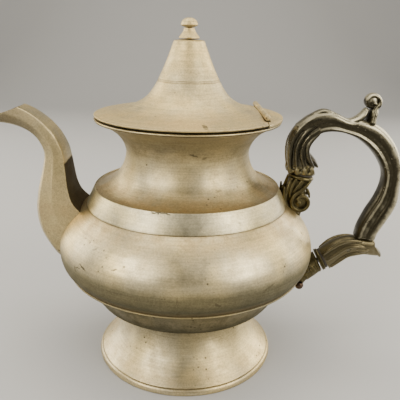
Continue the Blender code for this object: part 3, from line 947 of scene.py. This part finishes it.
def mouth_cutter():
    form = bmesh.new()
    rim = spread(MOUTH_RIM, 5)
    outline = [(-104, 190), *rim, (-150, 190)]
    skin(form, [[(x, y, z) for x, z in outline] for y in (-30, 30)])
    return place("mouth_cut", form)


def spout_half(name, side, node, cutters):
    """One casting of the spout: three long facets with softened ridges, split on the plane of symmetry."""
    form = bmesh.new()
    rings = []
    for x1, z1, x2, z2, wide in spread(SPOUT_ROWS, 6):
        low, high = Vector((x2, 0, z2)), Vector((x1, 0, z1))
        rise = (high - low).normalized()
        tall = (high - low).length
        outer = [(tall, 0), (tall, wide - 1.8), (0.55 * tall, wide), (0.14 * tall, 0.74 * wide)]
        outer += [(0, 0.36 * wide), (0, 0)]
        outer = soften(outer, 1, closed=False, sharpest=0)
        inner = [
            (SPOUT_WALL, 0),
            (SPOUT_WALL, 0.36 * wide - 0.4),
            (0.14 * tall + 0.9, 0.74 * wide - 1.3),
            (0.55 * tall, wide - SPOUT_WALL),
            (tall - SPOUT_WALL, wide - 3),
            (tall - SPOUT_WALL, 0),
        ]
        rings.append([low + rise * up + Vector((0, side * out, 0)) for up, out in outer + inner])
    skin(form, rings)
    half = place(name, form)
    cut(half, cutters)
    dress(half, "spout", "pewter", node)


# ---- handle

GRIP_EDGES = [
    # inner edge x, z, outer edge x, z
    (84, 131, 67.4, 133.4),
    (84.6, 135.2, 65.6, 138),
    (80.4, 143, 64.6, 146),
    (80, 150, 65.2, 155.4),
    (82.4, 155.8, 69.6, 163.8),
    (88, 159, 79.2, 171),
    (95.4, 159.8, 91.8, 173),
    (103.2, 158.6, 104, 168.2),
    (111, 155.4, 115.4, 167.6),
    (119.2, 149.4, 127.2, 162.2),
    (126, 141.6, 137, 151),
    (130.4, 133, 142.4, 137),
    (130.6, 124.6, 143.2, 124.4),
    (127.8, 115.4, 142.6, 110.6),
    (122.4, 104.8, 137.2, 98.4),
    (118.2, 94.4, 132.6, 89.6),
    (116.8, 86.6, 131.4, 84.9),
]
GRIP_DEPTHS = (7.2, 7.4, 6.8, 6.6, 6.6, 6.6, 6.4, 6.2, 6.6, 6.8, 6.8, 6.6, 6.6, 7, 7, 6.6, 6.4)

# the faces where the sockets end, and the ways their dowels run
UPPER_SEAT = Vector((75.8, 0, 127.1))
LEAN = Vector((0.19, 0, 0.98)).normalized()
LOWER_SEAT = Vector((94.4, 0, 68.2))
ALONG = Vector((0.88, 0, 0.475)).normalized()
PIN_SPOT = LOWER_SEAT + ALONG * 20.5
DOWEL_HOLE = 2.3
CURL_IN = 2.6  # how much nearer its middle a volute ends than it starts

# each leaf: its half thickness, then points from root to tip
GRIP_FLUTES = (
    (1.7, (67.4, 5, 136), (66.6, 5, 145), (67.6, 5.2, 154), (72.8, 5.4, 162.6), (80, 5.6, 168.4)),
    (1.25, (71.4, 6.8, 137.4), (70.4, 6.3, 145), (71.4, 6.1, 152), (75.6, 6, 159.4), (83, 5.8, 165)),
    (1.35, (76.6, 6.9, 137), (74.2, 6.4, 144), (74.6, 6.2, 150.6), (78, 6, 156.6), (84.4, 5.8, 161.6)),
    (1.5, (83, 4.4, 136.4), (79.4, 5.4, 141.6), (77.8, 5.6, 148), (79.4, 5.6, 153.4), (84.6, 5.4, 158.6)),
)
SOCKET_LEAVES = (
    (1.3, (69, 4.6, 128.2), (67.2, 5.4, 122.6), (65.8, 6, 116.6), (66.6, 6.2, 111), (69, 6, 106.6)),
    (1.05, (71.6, 6.6, 128.2), (69.6, 7, 124.6), (68.4, 7.2, 120.6), (68.2, 7.2, 117)),
    (0.95, (75.6, 7, 127.8), (73.8, 7.2, 125.2), (72, 7.2, 122.4), (70.8, 7.2, 120.4)),
    (1.25, (82.6, 2.4, 128.4), (81.6, 3, 126), (80.4, 3.4, 123.6)),
    (1, (80.2, 4.6, 121), (81.4, 4.4, 118.6), (82.2, 4.2, 115.6)),
)
ARM_LEAVES = (
    (1.4, (95.6, 6, 75), (101, 6.2, 79.6), (107, 5.8, 83), (114, 5, 84.4), (121, 4.4, 83.8)),
    (1.3, (98.6, 7, 70.8), (104.4, 6.4, 75), (110, 6, 78.8), (116.6, 5.8, 80.4), (124, 5.2, 79.6)),
    (1.3, (101.8, 6.2, 65.6), (107, 5.8, 69.8), (112.4, 5.4, 73.4), (118.6, 5.2, 75), (126, 4.6, 75.4)),
    (1, (119, 5.8, 77.6), (123.4, 5.8, 77), (127.6, 5, 78.8)),
)


def grip_part(form, low, high, depth, start=0):
    """Bar along the grip, between two shares of its width and with a share of its depth."""
    edges = []
    for row in GRIP_EDGES[start:]:
        inner, outer = Vector(row[:2]), Vector(row[2:])
        edges.append((*inner.lerp(outer, low), *inner.lerp(outer, high)))
    bar(form, edges, [d * depth for d in GRIP_DEPTHS[start:]], power=2.2)


def mirrored(form, points, radii, **how):
    """The same strand on both sides of the plane of symmetry."""
    for side in (-1, 1):
        strand(form, [(x, side * y, z) for x, y, z in points], radii, **how)


def in_plane(*pairs):
    """Points on the plane of symmetry."""
    return [(x, 0, z) for x, z in pairs]


def leaves(form, rows, root, tip):
    """Mirrored strands, whose ends have shares of the thickness between them."""
    for size, *points in rows:
        mirrored(form, points, [root * size] + [size] * (len(points) - 2) + [tip * size])


def oval(centre, direction, wide, deep, count=24):
    """Closed oval line about a direction that lies in the plane of symmetry."""
    across, other = frame_of(direction)
    return [Vector(centre) + across * c * wide + other * s * deep for c, s in circle(count, closed=True)]


def volute(centre, count, turn, far):
    """Points of a curl that tightens inwards, each with its share of the way; turn is start and sweep."""
    start, sweep = turn
    for k in range(count):
        t = k / (count - 1)
        angle = math.radians(start + sweep * t)
        reach = far - CURL_IN * t * t
        yield t, centre.x + reach * math.cos(angle), centre.z + reach * math.sin(angle)


def make_grip():
    """Scroll grip: broad rounded back, groove and inner rib, leaf flutes and a cuff at its upper root."""
    form = bmesh.new()
    grip_part(form, 0.04, 0.96, 0.80)
    grip_part(form, 0.37, 1, 1, 4)
    grip_part(form, 0, 0.30, 0.90, 4)
    leaves(form, GRIP_FLUTES, 0.7, 0.5)
    beak = in_plane((79, 144), (82.4, 140.2), (85, 137.4), (86.7, 135.7))
    strand(form, beak, (2.2, 2.4, 1.7, 0.8), flat=1.9)
    cuff = oval((75.5, 0, 132.9), LEAN, 8.9, 7)
    strand(form, cuff, [1.25] * len(cuff), side=tuple(LEAN), per_span=2)
    for x, y, tip in ((67.2, 4.2, 138.2), (71.4, 6.9, 137.2), (76.4, 7.3, 136.6), (81.4, 5.2, 136.2)):
        mirrored(form, [(x + 0.8, y, 133.2), (x, y + 0.5, 135.4), (x - 0.4, y - 0.5, tip)], (1.9, 1.5, 0.7))
    crest = in_plane((78.4, 169.6), (83.4, 172), (88, 173), (93.6, 171.4), (99, 168.6))
    strand(form, crest, (0.8, 1.3, 1.5, 1.3, 0.8), flat=3)
    tongue = in_plane((100, 166.4), (105.4, 166.6), (109.6, 168), (112.8, 170.8), (114.6, 174.2))
    strand(form, tongue, (1.4, 2, 2.3, 2.2, 1.6), flat=2.4)
    grip = cast("grip_casting", form, 0.38, 8)
    dress(grip, "grip", "blackened_metal", "handle_grip")


def make_thumb_scroll():
    """Leaf rolled into a ball-like volute, with a bead in its eye."""
    form = bmesh.new()
    centre = Vector((118, 0, 179.3))
    points = in_plane((118.4, 166.6), (118.8, 169.6), (119.6, 172.6))
    radii = [3.2, 3, 2.7]
    for t, x, z in volute(centre, 14, (-55, 410), 4.3):
        points.append((x, 0, z))
        radii.append(2.1 - 0.8 * t)
    strand(form, points, radii, flat=2.4, per_span=4, sides=20)
    bead(form, (centre.x - 0.6, 0, centre.z + 0.6), 4.2, (1, 1.15, 1))
    for side in (-1, 1):
        bead(form, (centre.x + 1, side * 4.1, centre.z - 0.8), 1.2)
    scroll = cast("thumb_scroll_casting", form, 0.26, 2)
    dress(scroll, "grip", "blackened_metal", "handle_thumb_scroll")


def make_collar(name, seat, direction, outside, look, slot, node):
    """Ring or disc about a dowel, turned from the outside of its section."""
    form = bmesh.new()
    profile = [(outside[0][0], DOWEL_HOLE), *outside, (outside[-1][0], DOWEL_HOLE)]
    skin(form, rod_rings(seat, seat + direction, profile, 48), looped=True)
    dress(place(name, form), look, slot, node)


def make_upper_socket(envelope):
    """Foliate socket: leaves run down its neck, and one of them rolls into a volute with a bead."""
    form = bmesh.new()
    edges = [
        (64, 97, 77, 99),
        (65, 104, 78.6, 105.4),
        (65.4, 109, 80.6, 109.6),
        (65.8, 114, 81.4, 114.4),
        (66.6, 119, 80, 119.6),
        (67.4, 124, 79.4, 123.4),
        (68.4, 128.5, 81.8, 126.3),
    ]
    bar(form, edges, (5.4, 6.2, 6.6, 6.8, 6.6, 6.2, 6))
    middle = Vector((75.9, 0, 113))
    coil = [(81.4, 5.2, 127.4), (79, 6.4, 124.2), (75.8, 7, 121), (71.8, 7.2, 118.2)]
    sizes = [1, 1.3, 1.45, 1.45]
    for t, x, z in volute(middle, 15, (158, 335), 6.1):
        coil.append((x, 7.2 + 0.9 * t, z))
        sizes.append(1.5 - 0.5 * t)
    mirrored(form, coil, sizes, per_span=3)
    for side in (-1, 1):
        bead(form, (74.6, side * 8.2, 112.7), 2.3)
        bead(form, (middle.x, side * 5.4, middle.z), 5.4, (1, 0.32, 1))
    leaves(form, SOCKET_LEAVES, 1.1, 0.6)
    flange = [(64.4, 6.6, 123), (64.6, 7, 117), (66.4, 7.2, 111), (70, 7.2, 106.8)]
    mirrored(form, [*flange, (74.8, 6.4, 104.6)], (0.7, 1, 1.1, 1.1, 0.9))
    for x, z in ((82, 126.6), (81.6, 117.4), (82.4, 112.6), (81, 108.6)):
        curl = in_plane((x - 2.4, z + 1.4), (x - 0.9, z + 0.8), (x - 0.6, z - 0.8))
        strand(form, curl, (1.2, 1.5, 0.9), flat=2.4)
    socket = cast("upper_socket_casting", form, 0.28, 2)
    cut(socket, [envelope])
    dress(socket, "socket", "gilt_bronze", "handle_upper_socket")
    ring = [(0.7, 7.3), (1.1, 8.1), (1.7, 8.5), (2.4, 8.5), (3, 8), (3.4, 7.2)]
    make_collar("upper_collar_ring", UPPER_SEAT, LEAN, ring, "socket", "gilt_bronze", "handle_upper_collar")
    disc = [(3.5, 7.2), (3.7, 7.4), (4.5, 7.4), (4.7, 7.2)]
    make_collar("upper_insulator_disc", UPPER_SEAT, LEAN, disc, "horn", "insulator", "handle_upper_insulator")


def make_lower_arm():
    """Short leafy arm with its tail curl and the holes for its cross pin."""
    form = bmesh.new()
    edges = [
        (136, 75, 134.8, 71.8),
        (132.4, 79.6, 130.2, 72.4),
        (131, 84, 124.8, 73),
        (124, 85.2, 120.6, 73),
        (116.8, 86, 116.8, 72.8),
        (110.6, 85.8, 112.8, 71.4),
        (103.2, 83, 108, 67.8),
        (98, 79.6, 105, 64.8),
        (93, 75.6, 101.6, 62),
    ]
    bar(form, edges, (2.8, 4.8, 5.6, 5.8, 5.8, 5.8, 6.2, 6.6, 7))
    tail = in_plane((129, 75.6), (132.6, 75.4), (135.6, 73.4), (137, 71.4))
    strand(form, tail, (3.2, 2.8, 1.9, 1), flat=1.5)
    mirrored(form, [(130.4, 3.4, 79.6), (132.4, 3.4, 76.6), (135.6, 2.6, 73.2)], (1.4, 1.6, 0.9))
    leaves(form, ARM_LEAVES, 0.7, 0.6)
    arm = cast("lower_arm_casting", form, 0.32, 2)
    form = bmesh.new()
    for side in (-1, 1):
        start = PIN_SPOT + Vector((0, side * 5, 0))
        end = PIN_SPOT + Vector((0, side * 9, 0))
        skin(form, rod_rings(start, end, [(0, 1.5), (4, 1.9)], 24))
    carve(arm, place("pin_holes", form))
    dress(arm, "arm", "blackened_metal", "handle_lower_arm")


def make_lower_socket(envelope):
    """Ringed socket with its disc and double collar, and the copper ball under it."""
    disc = [(1.4, 7.1), (1.6, 7.3), (2.8, 7.3), (3, 7.1)]
    ring = [(-1.2, 7.5), (-0.9, 8.1), (-0.4, 8.2), (0, 7.7), (0.4, 8.2), (0.9, 8.1), (1.3, 7.5)]
    seat = (LOWER_SEAT, ALONG)
    make_collar("lower_insulator_disc", *seat, disc, "horn", "insulator", "handle_lower_insulator")
    make_collar("lower_collar_ring", *seat, ring, "socket", "gilt_bronze", "handle_lower_collar")

    form = bmesh.new()
    edges = [
        (89.6, 73.4, 96.2, 60.9),
        (85.6, 71.2, 92.4, 57.2),
        (80.6, 67.6, 88, 53.4),
        (76, 61, 86.2, 52.2),
        (77.6, 52.6, 85.2, 50.9),
    ]
    bar(form, edges, (5.8, 5.8, 5.2, 4.2, 3))
    rings = (((92, 66), 6.9), ((88, 62.4), 6.4), ((84.6, 58.2), 5.4), ((81.9, 54), 4.2))
    for (x, z), size in rings:
        line = oval((x, 0, z), ALONG, size, 0.86 * size, 12)
        strand(form, line, [0.85] * len(line), side=tuple(ALONG), per_span=3)
    curl = [(90.4, 6, 61.4), (87.8, 6.2, 65.2), (84.8, 5.8, 64.8), (85.4, 5.6, 61.8)]
    mirrored(form, curl, (0.8, 1.1, 1.1, 1.3))
    socket = cast("lower_socket_casting", form, 0.28, 2)
    cut(socket, [envelope])
    dress(socket, "socket", "gilt_bronze", "handle_lower_socket")

    section = spread([(0, 50.6), (2.2, 49.8), (3.1, 47.6), (2.2, 45.4), (0, 44.6)], 6)
    ball = turned("socket_ball", section, 40, axis_x=81.6, wobble=False)
    dress(ball, "copper", "copper", "handle_socket_ball")


def dress_cad_nodes():
    """The pins, dowels and nut keep their CAD shapes; the cross pin's ends show, as dark as the grip."""
    for node in ("hinge_pin", "finial_nut", "handle_upper_dowel", "handle_lower_dowel", "handle_cross_pin"):
        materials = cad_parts[node].data.materials
        materials.clear()
        materials.append(MATERIALS["grip" if node == "handle_cross_pin" else "steel"])


# ---- stage

# metres and degrees; lights are a name, a place, the two sides and watts
CAMERA_PLACE = (0.0, -0.334, 0.2234)
CAMERA_YAW = -1.51
CAMERA_PITCH = 18.57
CAMERA_ROLL = 1.26
CAMERA_LENS = 46.7
FLOOR_GREY = (0.44, 0.44, 0.44, 1.0)
SKY_GREY = (0.80, 0.81, 0.82, 1.0)
SKY_STRENGTH = 0.11
LIGHT_AIM = Vector((0.0, 0.0, 0.12))
WARM_WHITE = (1.0, 0.94, 0.82)
LIGHTS = (
    ("soft_left", (-0.85, -0.72, 0.70), (0.8, 0.8), 14.0),
    ("soft_right", (0.88, -0.66, 0.66), (0.8, 0.8), 14.0),
    ("side_left", (-0.95, 0.45, 0.45), (0.8, 0.9), 11.0),
    ("side_right", (0.95, 0.45, 0.45), (0.8, 0.9), 11.0),
    ("soft_top", (0.0, 0.1, 1.25), (1.5, 1.2), 18.0),
)


def make_camera():
    yaw, pitch, roll = (math.radians(a) for a in (CAMERA_YAW, CAMERA_PITCH, CAMERA_ROLL))
    ahead = Vector((-math.sin(yaw) * math.cos(pitch), math.cos(yaw) * math.cos(pitch), -math.sin(pitch)))
    level = Vector((math.cos(yaw), math.sin(yaw), 0.0))
    up = level.cross(ahead)
    right = level * math.cos(roll) + up * math.sin(roll)
    top = up * math.cos(roll) - level * math.sin(roll)
    data = bpy.data.cameras.new("camera")
    data.lens = CAMERA_LENS
    data.sensor_width = 36.0
    data.clip_start = 0.01
    camera = bpy.data.objects.new("camera", data)
    turn = Matrix((right, top, -ahead)).transposed()
    camera.matrix_world = Matrix.Translation(Vector(CAMERA_PLACE)) @ turn.to_4x4()
    link(camera)
    bpy.context.scene.camera = camera


def make_floor():
    """Pale floor that sweeps up into a backdrop."""
    form = bmesh.new()
    front, depth, bend, tall, half, steps = -2500.0, 1100.0, 500.0, 2200.0, 3000.0, 12
    profile = [(front, 0.0), (depth, 0.0)]
    for k in range(1, steps + 1):
        angle = math.pi / 2 * k / steps
        profile.append((depth + bend * math.sin(angle), bend * (1 - math.cos(angle))))
    profile.append((depth + bend, tall))
    rows = [[form.verts.new((x, y, z)) for y, z in profile] for x in (-half, half)]
    for i in range(len(profile) - 1):
        form.faces.new((rows[0][i], rows[1][i], rows[1][i + 1], rows[0][i + 1]))
    floor = place("floor", form)
    material = bpy.data.materials.new("pale_floor")
    material.use_nodes = True
    shader = material.node_tree.nodes["Principled BSDF"]
    shader.inputs["Base Color"].default_value = FLOOR_GREY
    shader.inputs["Roughness"].default_value = 0.8
    floor.data.materials.append(material)


def make_light(name, spot, size, energy):
    data = bpy.data.lights.new(name, "AREA")
    data.shape = "RECTANGLE"
    data.size, data.size_y = size
    data.energy = energy
    data.color = WARM_WHITE
    light = bpy.data.objects.new(name, data)
    light.location = spot
    light.rotation_euler = (LIGHT_AIM - Vector(spot)).to_track_quat("-Z", "Y").to_euler()
    link(light)


def make_stage():
    make_camera()
    make_floor()
    for light in LIGHTS:
        make_light(*light)
    world = bpy.data.worlds.new("studio")
    world.use_nodes = True
    background = world.node_tree.nodes["Background"]
    background.inputs["Color"].default_value = SKY_GREY
    background.inputs["Strength"].default_value = SKY_STRENGTH
    bpy.context.scene.world = world


def main():
    make_stage()
    for make in (make_foot, make_base, make_belly, make_band, make_neck, make_lid, make_finial, make_hinge):
        make()
    envelope = body_envelope()
    mouth = mouth_cutter()
    spout_half("spout_casting_front", -1, "spout_half_front", [envelope, mouth])
    spout_half("spout_casting_rear", 1, "spout_half_back", [envelope, mouth])
    make_grip()
    make_thumb_scroll()
    make_upper_socket(envelope)
    make_lower_arm()
    make_lower_socket(envelope)
    bpy.data.objects.remove(envelope)
    bpy.data.objects.remove(mouth)
    dress_cad_nodes()


main()
